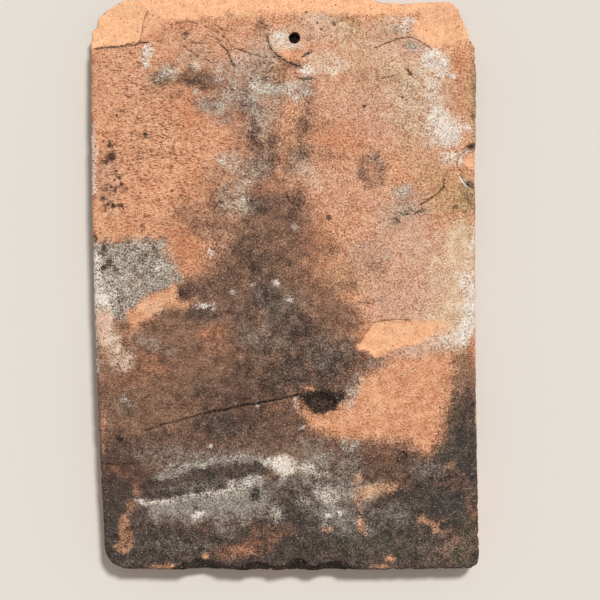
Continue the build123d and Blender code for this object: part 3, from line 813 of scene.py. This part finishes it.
def crackLines():
    # the signed gap to the nearest crack, in its half widths, and how strong the crack's painted shade is
    widest = damage["crackSides"]
    side = np.full(len(points), widest)
    closest = np.full(len(points), far)
    strength = np.zeros(len(points))
    for width, depth, line in damage["cracks"].values():
        places = onTile(line)
        for start, end in zip(places[:-1], places[1:]):
            gap = gapToRun(flat, start, end)
            x, y = end - start
            leftOf = np.where(x * (flat[:, 1] - start[1]) > y * (flat[:, 0] - start[0]), 1, -1)
            side = np.where(gap < closest, leftOf * gap / (damage["crackEdge"] * width), side)
            strength = np.where(gap < closest, min(1, depth / damage["darkDepth"]), strength)
            closest = np.minimum(closest, gap)
    return np.clip(side, -widest, widest), strength * smoothstep(*damage["crackFade"], closest)


def crackRelief():
    height = np.zeros(len(points))
    for width, depth, line in damage["cracks"].values():
        height = np.minimum(height, -depth * np.exp(-(gapToLine(flat, onTile(line)) / width) ** 2))
    return height


def pitRelief():
    random = np.random.default_rng(5)
    low, high = (np.array(corner[:2]) / mm for corner in cadBox)
    found = [(*onTile((x, y)), radius / picture["pixelsPerMm"]) for x, y, radius in damage["pits"]]
    for _ in range(damage["scattered"]):
        found.append((*random.uniform(low, high), random.uniform(*damage["scatteredRadius"])))
    height = np.zeros(len(points))
    edge = 1 + damage["pitRagged"] * ragged + uneven("pit's edge")
    rim, floor = damage["pitRim"]
    for x, y, radius in found:
        gap = np.hypot(flat[:, 0] - x, flat[:, 1] - y) * edge
        height -= damage["pitDepth"] * radius * smoothstep(radius * rim, radius * floor, gap)
    return height


def arrisRelief():
    gone = smoothstep(*slab["nibbled"], uneven("nibbles"))
    high = smoothstep(*slab["nibbleHeight"], points[:, 2])
    return -slab["nibble"] * gone * high * smoothstep(slab["nibbleReach"], 0, arrisGap) * awayFromHole


pits = pitRelief()
cracks = crackRelief()
fine = uneven("lumps") + uneven("coarse grit") + uneven("drag marks") + pits + cracks
fine = onFace * fine + (1 - onFace) * uneven("sides") + uneven("grit")
relief = fine + onFace * broadRelief() + arrisRelief() - slab["shrink"]
relief *= 1 - slab["holeCalm"] * inHole
points += normals * relief[:, None]
low, high = (np.array(corner) / mm for corner in cadBox)
points = np.clip(points, low + slab["margin"], high - slab["margin"])
print("relief made")

# How stains leave the face, what settles in it, the painted shade in pits, cracks and the nail hole, and
# dirt with painted shade in the hollows: strength, then where it starts and is full
weatheringAndShade = {
    "runs down": (1, -9, -1),  # mm below the face
    "patches": (1, -0.5, 0.8),
    "umber on sides": 0.35,
    "brown on sides": 0.6,
    "brown on bed": 0.35,
    "shade in pits": (0.85, -0.15, -0.6),
    "shade in cracks": (0.3, -0.1, -0.5),
    "shade in the hole": (0.7, 0.8, 0.3),
    "dirt and shade in hollows": (1, 0.12, -0.5),
}


def settled(name, value):
    strength, start, full = weatheringAndShade[name]
    return strength * smoothstep(start, full, value)


def stainsAndShade():
    down = onFace + (1 - onFace) * settled("runs down", points[:, 2] - points[:, 2].max())
    values = {name: covered * (1 - onBed) * down for name, covered in layers.items()}
    patches = settled("patches", uneven("weather"))
    sides, bed = patches * onSides, patches * onBed
    brown = weatheringAndShade["brown on sides"] * sides + weatheringAndShade["brown on bed"] * bed
    values["umber"] = np.maximum(values["umber"], weatheringAndShade["umber on sides"] * sides)
    values["brown"] = np.maximum(values["brown"], brown)
    # painted shade: the deeper a pit or crack, the darker, and dark down the nail hole's walls
    paintedShade = [settled("shade in pits", pits) * onFace, settled("shade in cracks", cracks) * onFace,
            settled("shade in the hole", normals[:, 2]) * inHole]
    values["charAndShade"] = np.max([values["charAndShade"], *paintedShade], axis=0)
    # dirt and painted shade, darker in the relief's hollows
    values["hollow"] = settled("dirt and shade in hollows", fine)
    values["crackSide"], near = crackLines()
    values["crackNear"] = near * onFace
    return values


def finishedTile():
    for vert, place in zip(skin.verts, points):
        vert.co = place * mm
    mesh = bpy.data.meshes.new("weatheredTile")
    skin.to_mesh(mesh)
    mesh.shade_smooth()
    for name, value in stainsAndShade().items():
        mesh.attributes.new(name, "FLOAT", "POINT").data.foreach_set("value", value.astype(np.float32))
    tile = bpy.data.objects.new("weathered_tile", mesh)
    bpy.context.scene.collection.objects.link(tile)
    return tile


tile = finishedTile()
print("tile of", sum(len(face.vertices) - 2 for face in tile.data.polygons), "triangles")

# Colours as the eye sees them in daylight, 0 to 255. Of three, the first is in the grain's hollows and the
# last on its tops: partly the finish's own speckle, partly painted shade in the hollows and painted
# highlight on the tops, as the grain follows the bump
colours = {
    "clay": [(162, 102, 74), (227, 160, 119), (252, 205, 166)],
    "clayRed": [(146, 88, 61), (212, 134, 93), (240, 177, 135)],
    "blush": [(170, 121, 98), (222, 171, 142), (244, 205, 178)],
    "tan": [(140, 105, 72), (198, 157, 112), (228, 194, 148)],
    "moss": [(44, 46, 32), (92, 88, 62), (150, 140, 106)],
    "rust": [(140, 76, 48), (202, 122, 82), (230, 164, 124)],
    "brown": [(93, 65, 52), (129, 96, 77), (164, 128, 106)],
    "umber": [(50, 38, 33), (80, 61, 51), (114, 91, 77)],
    "slate": [(40, 37, 34), (67, 62, 57), (106, 100, 92)],
    "dust": [(108, 98, 89), (152, 140, 127), (194, 184, 170)],
    "ash": [(88, 80, 68), (180, 169, 150), (232, 224, 208)],
    "cream": [(190, 166, 146), (244, 228, 210), (255, 249, 240)],
    "milk": [(206, 168, 136), (236, 206, 170), (251, 230, 200)],
    "bare": [(188, 121, 87), (232, 161, 118), (249, 199, 161)],
    "fresh": [(226, 160, 118), (246, 186, 140), (253, 204, 164)],
    # burnt matter, and painted shade in pits, chips, small holes and the nail hole
    "charAndShade": [(15, 12, 11), (38, 32, 28), (90, 75, 64)],
    # painted shade in the cracks
    "crack": (36, 26, 22),
    "fleck": (214, 196, 172),
    # pores, and the dirt and painted shade in the hollows
    "pore": (84, 56, 44),
    # painted shade in the combed strokes
    "shadeInStrokes": (116, 74, 54),
    "floor": (226, 220, 211),
}


def seen(colour):
    # screen colour to the linear colour that a shader takes
    parts = [c / 255 for c in colour]
    return [*(c / 12.92 if c <= 0.04045 else ((c + 0.055) / 1.055) ** 2.4 for c in parts), 1]


def feed(tree, socket, value):
    if isinstance(value, bpy.types.NodeSocket):
        tree.links.new(value, socket)
    else:
        socket.default_value = value


def add(tree, kind, inputs, **settings):
    made = tree.nodes.new(kind)
    for name, value in settings.items():
        setattr(made, name, value)
    for socket, value in inputs.items():
        feed(tree, made.inputs[socket], value)
    return made


def grain(tree, at, perMetre, detail, distortion=0.0):
    inputs = {"Vector": at, "Scale": perMetre, "Detail": detail, "Distortion": distortion}
    return add(tree, "ShaderNodeTexNoise", inputs)


def sums(tree, operation, *values):
    return add(tree, "ShaderNodeMath", dict(enumerate(values)), operation=operation).outputs[0]


def vectors(tree, operation, inputs):
    return add(tree, "ShaderNodeVectorMath", inputs, operation=operation).outputs[0]


def rise(tree, value, low, high, bottom=0.0, top=1.0):
    inputs = {"Value": value, "From Min": low, "From Max": high, "To Min": bottom, "To Max": top}
    return add(tree, "ShaderNodeMapRange", inputs, interpolation_type="SMOOTHSTEP").outputs["Result"]


def over(tree, amount, under, top):
    mix = add(tree, "ShaderNodeMix", {"Factor": amount}, data_type="RGBA")
    feed(tree, mix.inputs[6], under)
    feed(tree, mix.inputs[7], top)
    return mix.outputs[2]


def tones(tree, value, name):
    # the colour of a finish, from the grain's hollows to its tops, darker in the hollows as painted shade
    # and lighter on the tops as painted highlight, besides its own speckle
    node = add(tree, "ShaderNodeValToRGB", {"Fac": value})
    node.color_ramp.elements.new(finish["tones"][1])
    for element, place, colour in zip(node.color_ramp.elements, finish["tones"], colours[name]):
        element.position = place
        element.color = seen(colour)
    return node.outputs["Color"]


def layer(tree, name):
    return add(tree, "ShaderNodeAttribute", {}, attribute_name=name).outputs["Fac"]


finish = {
    "waver": (0.0012, 110),  # how far the sanded grain wanders in metres, and how often a metre
    "strokes": (math.radians(-10), (0.55, 1.3, 1.0), 1250),  # turn, squeeze, grains a metre
    "grains": 1350,
    "twist": 0.3,
    "sand": 2000,
    "mottle": 260,
    "cloud": 34,
    "pores": 420,
    "flecks": 800,
    "roughness": (0.8, 0.6, -0.2),  # shares of the grain and the sand, and what evens them
    "mottled": {"grainy": (0.8, 0.2), "sooty": (0.68, 0.32)},  # shares of that and of the mottle
    "tones": (0.36, 0.5, 0.64),  # where in the grain the three colours of a finish are
    "bump": 0.00065,
    "dashDepth": 0.4,
    "hollowDirtAndShade": 0.3,
    "specular": 0.25,
    "crackStray": 6.0,  # half widths that a crack strays by the mottle
    "crackFray": 5.0,  # and that its sides stray by the grain
    # Where a texture starts and ends to count, and what it becomes there
    "redClay": (0.45, 0.68, 0.0, 0.7),
    "pore": (0.24, 0.12),
    "poreInSand": (0.47, 0.54, 0.0, 0.8),
    "dash": (0.43, 0.36, 0.0, 0.6),
    "dashInMottle": (0.62, 0.42, 0.3),
    "fleck": (0.3, 0.12),
    "fleckLit": (0.6, 0.8, 0.0, 0.5),
    "fleckInBrown": (0.2, 0.7),
    "crack": (1.4, 0.6, 0.0, 0.92),
    "gloss": (0.3, 0.7, 0.98, 0.82),
    "freshBump": (0.0, 1.0, 1.0, 0.3),
    # How much a film breaks up where it thins out, and how much of that is by the grain rather than
    # in blotches. Below 0 it keeps to their hollows
    "films": {
        "blush": (0.85, 0.6), "tan": (0.9, 0.5), "brown": (-1.4, 0.65), "umber": (-1.5, 0.6),
        "slate": (-1.7, 0.5), "rust": (2.6, 0.3), "moss": (-2.0, 0.3), "dust": (2.3, 0.4),
        "milk": (1.5, 0.45), "ash": (3.6, 0.6), "cream": (3.8, 0.65), "bare": (3.0, 0.6),
        "fresh": (2.0, 0.5), "charAndShade": (-2.5, 0.6),
    },
    "sooty": ("brown", "umber", "slate", "moss", "milk", "bare"),
}


def clayTextures(tree):
    # the textures that all of the finish is made from
    at = add(tree, "ShaderNodeTexCoord", {}).outputs["Object"]
    reach, often = finish["waver"]
    drift = vectors(tree, "SUBTRACT", {0: grain(tree, at, often, 1.0).outputs["Color"], 1: (0.5, 0.5, 0.5)})
    drift = vectors(tree, "SCALE", {0: drift, "Scale": 2 * reach})
    wavy = vectors(tree, "ADD", {0: at, 1: drift})
    turn, stretch, often = finish["strokes"]
    inputs = {"Vector": wavy, "Rotation": (0, 0, turn), "Scale": stretch}
    turned = add(tree, "ShaderNodeMapping", inputs).outputs[0]
    strokes = grain(tree, turned, often, 2.0, finish["twist"]).outputs["Fac"]
    grains = grain(tree, wavy, finish["grains"], 2.0, finish["twist"]).outputs["Fac"]
    combed = layer(tree, "combed")
    sand = grain(tree, at, finish["sand"], 1.0).outputs["Fac"]
    byGrain, bySand, even = finish["roughness"]
    rough = sums(tree, "MULTIPLY_ADD", sand, bySand, even)
    rough = sums(tree, "MULTIPLY_ADD", over(tree, combed, grains, strokes), byGrain, rough)
    mottle = grain(tree, at, finish["mottle"], 3.0).outputs["Fac"]
    cloud = grain(tree, at, finish["cloud"], 3.0).outputs["Fac"]
    made = {"at": at, "wavy": wavy, "strokes": strokes, "combed": combed, "sand": sand, "rough": rough,
            "mottle": mottle, "cloud": cloud}
    for name, (byRough, byMottle) in finish["mottled"].items():
        mottled = sums(tree, "MULTIPLY", mottle, byMottle)
        made[name] = sums(tree, "MULTIPLY_ADD", rough, byRough, mottled)
    return made


def filmsOver(tree, made, base):
    for name, (pull, byGrain) in finish["films"].items():
        film = layer(tree, name)
        speckle = sums(tree, "MULTIPLY", made["mottle"], 1 - byGrain)
        speckle = sums(tree, "MULTIPLY_ADD", made["rough"], byGrain, speckle)
        thin = sums(tree, "MULTIPLY", film, sums(tree, "SUBTRACT", 1.0, film))
        breaks = sums(tree, "MULTIPLY", thin, sums(tree, "MULTIPLY_ADD", speckle, 4 * pull, -2 * pull))
        held = add(tree, "ShaderNodeClamp", {"Value": sums(tree, "ADD", film, breaks)}).outputs[0]
        kind = "sooty" if name in finish["sooty"] else "grainy"
        base = over(tree, held, base, tones(tree, made[kind], name))
    return base


def dirtAndShadeOver(tree, made, base, dashes):
    pores = add(tree, "ShaderNodeTexVoronoi", {"Vector": made["wavy"], "Scale": finish["pores"]})
    pore = rise(tree, pores.outputs["Distance"], *finish["pore"])
    pore = sums(tree, "MULTIPLY", pore, rise(tree, made["sand"], *finish["poreInSand"]))
    base = over(tree, pore, base, seen(colours["pore"]))
    base = over(tree, dashes, base, seen(colours["shadeInStrokes"]))
    flecks = add(tree, "ShaderNodeTexVoronoi", {"Vector": made["at"], "Scale": finish["flecks"]})
    fleck = sums(tree, "MULTIPLY", rise(tree, flecks.outputs["Distance"], *finish["fleck"]),
                 rise(tree, flecks.outputs["Color"], *finish["fleckLit"]))
    fleck = sums(tree, "MULTIPLY", fleck, rise(tree, layer(tree, "brown"), *finish["fleckInBrown"]))
    base = over(tree, fleck, base, seen(colours["fleck"]))
    # dirt and painted shade in the hollows
    hollow = sums(tree, "MULTIPLY", layer(tree, "hollow"), finish["hollowDirtAndShade"])
    return over(tree, hollow, base, seen(colours["pore"]))


def dashesOf(tree, made):
    # painted shade in the lowest of the strokes, where the clay is combed
    dashes = sums(tree, "MULTIPLY", rise(tree, made["strokes"], *finish["dash"]), made["combed"])
    return sums(tree, "MULTIPLY", dashes, rise(tree, made["mottle"], *finish["dashInMottle"]))


# the dark line of painted shade along each crack; it also cuts into the bump
def cracksOf(tree, made):
    stray, fray = finish["crackStray"], finish["crackFray"]
    astray = sums(tree, "MULTIPLY_ADD", made["mottle"], stray, -stray / 2)
    side = sums(tree, "ABSOLUTE", sums(tree, "ADD", layer(tree, "crackSide"), astray))
    side = sums(tree, "ADD", side, sums(tree, "MULTIPLY_ADD", made["rough"], fray, -fray / 2))
    return sums(tree, "MULTIPLY", rise(tree, side, *finish["crack"]), layer(tree, "crackNear"))


def firedClay():
    material = bpy.data.materials.new("fired_clay")
    material.use_nodes = True
    tree = material.node_tree
    clay = tree.nodes["Principled BSDF"]
    made = clayTextures(tree)
    red = rise(tree, made["cloud"], *finish["redClay"])
    base = over(tree, red, tones(tree, made["grainy"], "clay"), tones(tree, made["grainy"], "clayRed"))
    dashes = dashesOf(tree, made)
    crack = cracksOf(tree, made)
    base = dirtAndShadeOver(tree, made, filmsOver(tree, made, base), dashes)
    # the cracks' painted shade over all
    feed(tree, clay.inputs["Base Color"], over(tree, crack, base, seen(colours["crack"])))
    feed(tree, clay.inputs["Roughness"], rise(tree, made["rough"], *finish["gloss"]))
    clay.inputs["Specular IOR Level"].default_value = finish["specular"]
    cut = sums(tree, "MULTIPLY_ADD", dashes, finish["dashDepth"], crack)
    height = sums(tree, "SUBTRACT", made["rough"], cut)
    strength = rise(tree, layer(tree, "fresh"), *finish["freshBump"])
    bump = add(tree, "ShaderNodeBump", {"Height": height, "Strength": strength, "Distance": finish["bump"]})
    feed(tree, clay.inputs["Normal"], bump.outputs["Normal"])
    return material


tile.data.materials.append(firedClay())
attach(tile, "root")
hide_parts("tile")
print("clay finished")

studio = {
    "floorSide": 4.0,
    "floorRoughness": 0.95,
    "floorSpecular": 0.1,
    "sunFrom": (0.235, 0.449, 0.862),
    "sunAngle": math.radians(9),
    "sunEnergy": 2.44,
    "sky": 0.36,
    "backdrop": 0.86,
    "lens": 100,
    "frameMiddle": (300, 300),
    "faceHeight": 12.5,
}


def paleFloor():
    bm = bmesh.new()
    bmesh.ops.create_grid(bm, x_segments=1, y_segments=1, size=studio["floorSide"] / 2)
    mesh = bpy.data.meshes.new("floor")
    bm.to_mesh(mesh)
    floor = bpy.data.objects.new("floor", mesh)
    bpy.context.scene.collection.objects.link(floor)
    material = bpy.data.materials.new("pale_floor")
    material.use_nodes = True
    paint = material.node_tree.nodes["Principled BSDF"]
    paint.inputs["Base Color"].default_value = seen(colours["floor"])
    paint.inputs["Roughness"].default_value = studio["floorRoughness"]
    paint.inputs["Specular IOR Level"].default_value = studio["floorSpecular"]
    mesh.materials.append(material)


def lights():
    sun = bpy.data.lights.new("sun", "SUN")
    sun.energy = studio["sunEnergy"]
    sun.angle = studio["sunAngle"]
    lamp = bpy.data.objects.new("sun", sun)
    lamp.rotation_euler = Vector(studio["sunFrom"]).to_track_quat("Z", "Y").to_euler()
    bpy.context.scene.collection.objects.link(lamp)
    world = bpy.data.worlds.new("studio")
    world.use_nodes = True
    bpy.context.scene.world = world
    tree = world.node_tree
    lit = tree.nodes["Background"]
    lit.inputs["Color"].default_value = (1, 1, 1, 1)
    lit.inputs["Strength"].default_value = studio["sky"]
    inputs = {"Color": seen(colours["floor"]), "Strength": studio["backdrop"]}
    shown = add(tree, "ShaderNodeBackground", inputs)
    path = add(tree, "ShaderNodeLightPath", {})
    seenRay = sums(tree, "MAXIMUM", path.outputs["Is Camera Ray"], path.outputs["Is Glossy Ray"])
    seenRay = sums(tree, "MAXIMUM", seenRay, path.outputs["Is Transmission Ray"])
    mix = add(tree, "ShaderNodeMixShader", {0: seenRay, 1: lit.outputs[0], 2: shown.outputs[0]})
    tree.links.new(mix.outputs[0], tree.nodes["World Output"].inputs["Surface"])


def camera():
    lens = bpy.data.cameras.new("camera")
    lens.lens = studio["lens"]
    seenWidth = picture["pixels"] / picture["pixelsPerMm"] * mm
    x, y = onTile(studio["frameMiddle"]) * mm
    eye = bpy.data.objects.new("camera", lens)
    eye.location = (x, y, studio["faceHeight"] * mm + seenWidth * lens.lens / lens.sensor_width)
    bpy.context.scene.collection.objects.link(eye)
    bpy.context.scene.camera = eye


paleFloor()
lights()
camera()
bpy.context.scene.view_settings.view_transform = "Standard"
print("studio set")
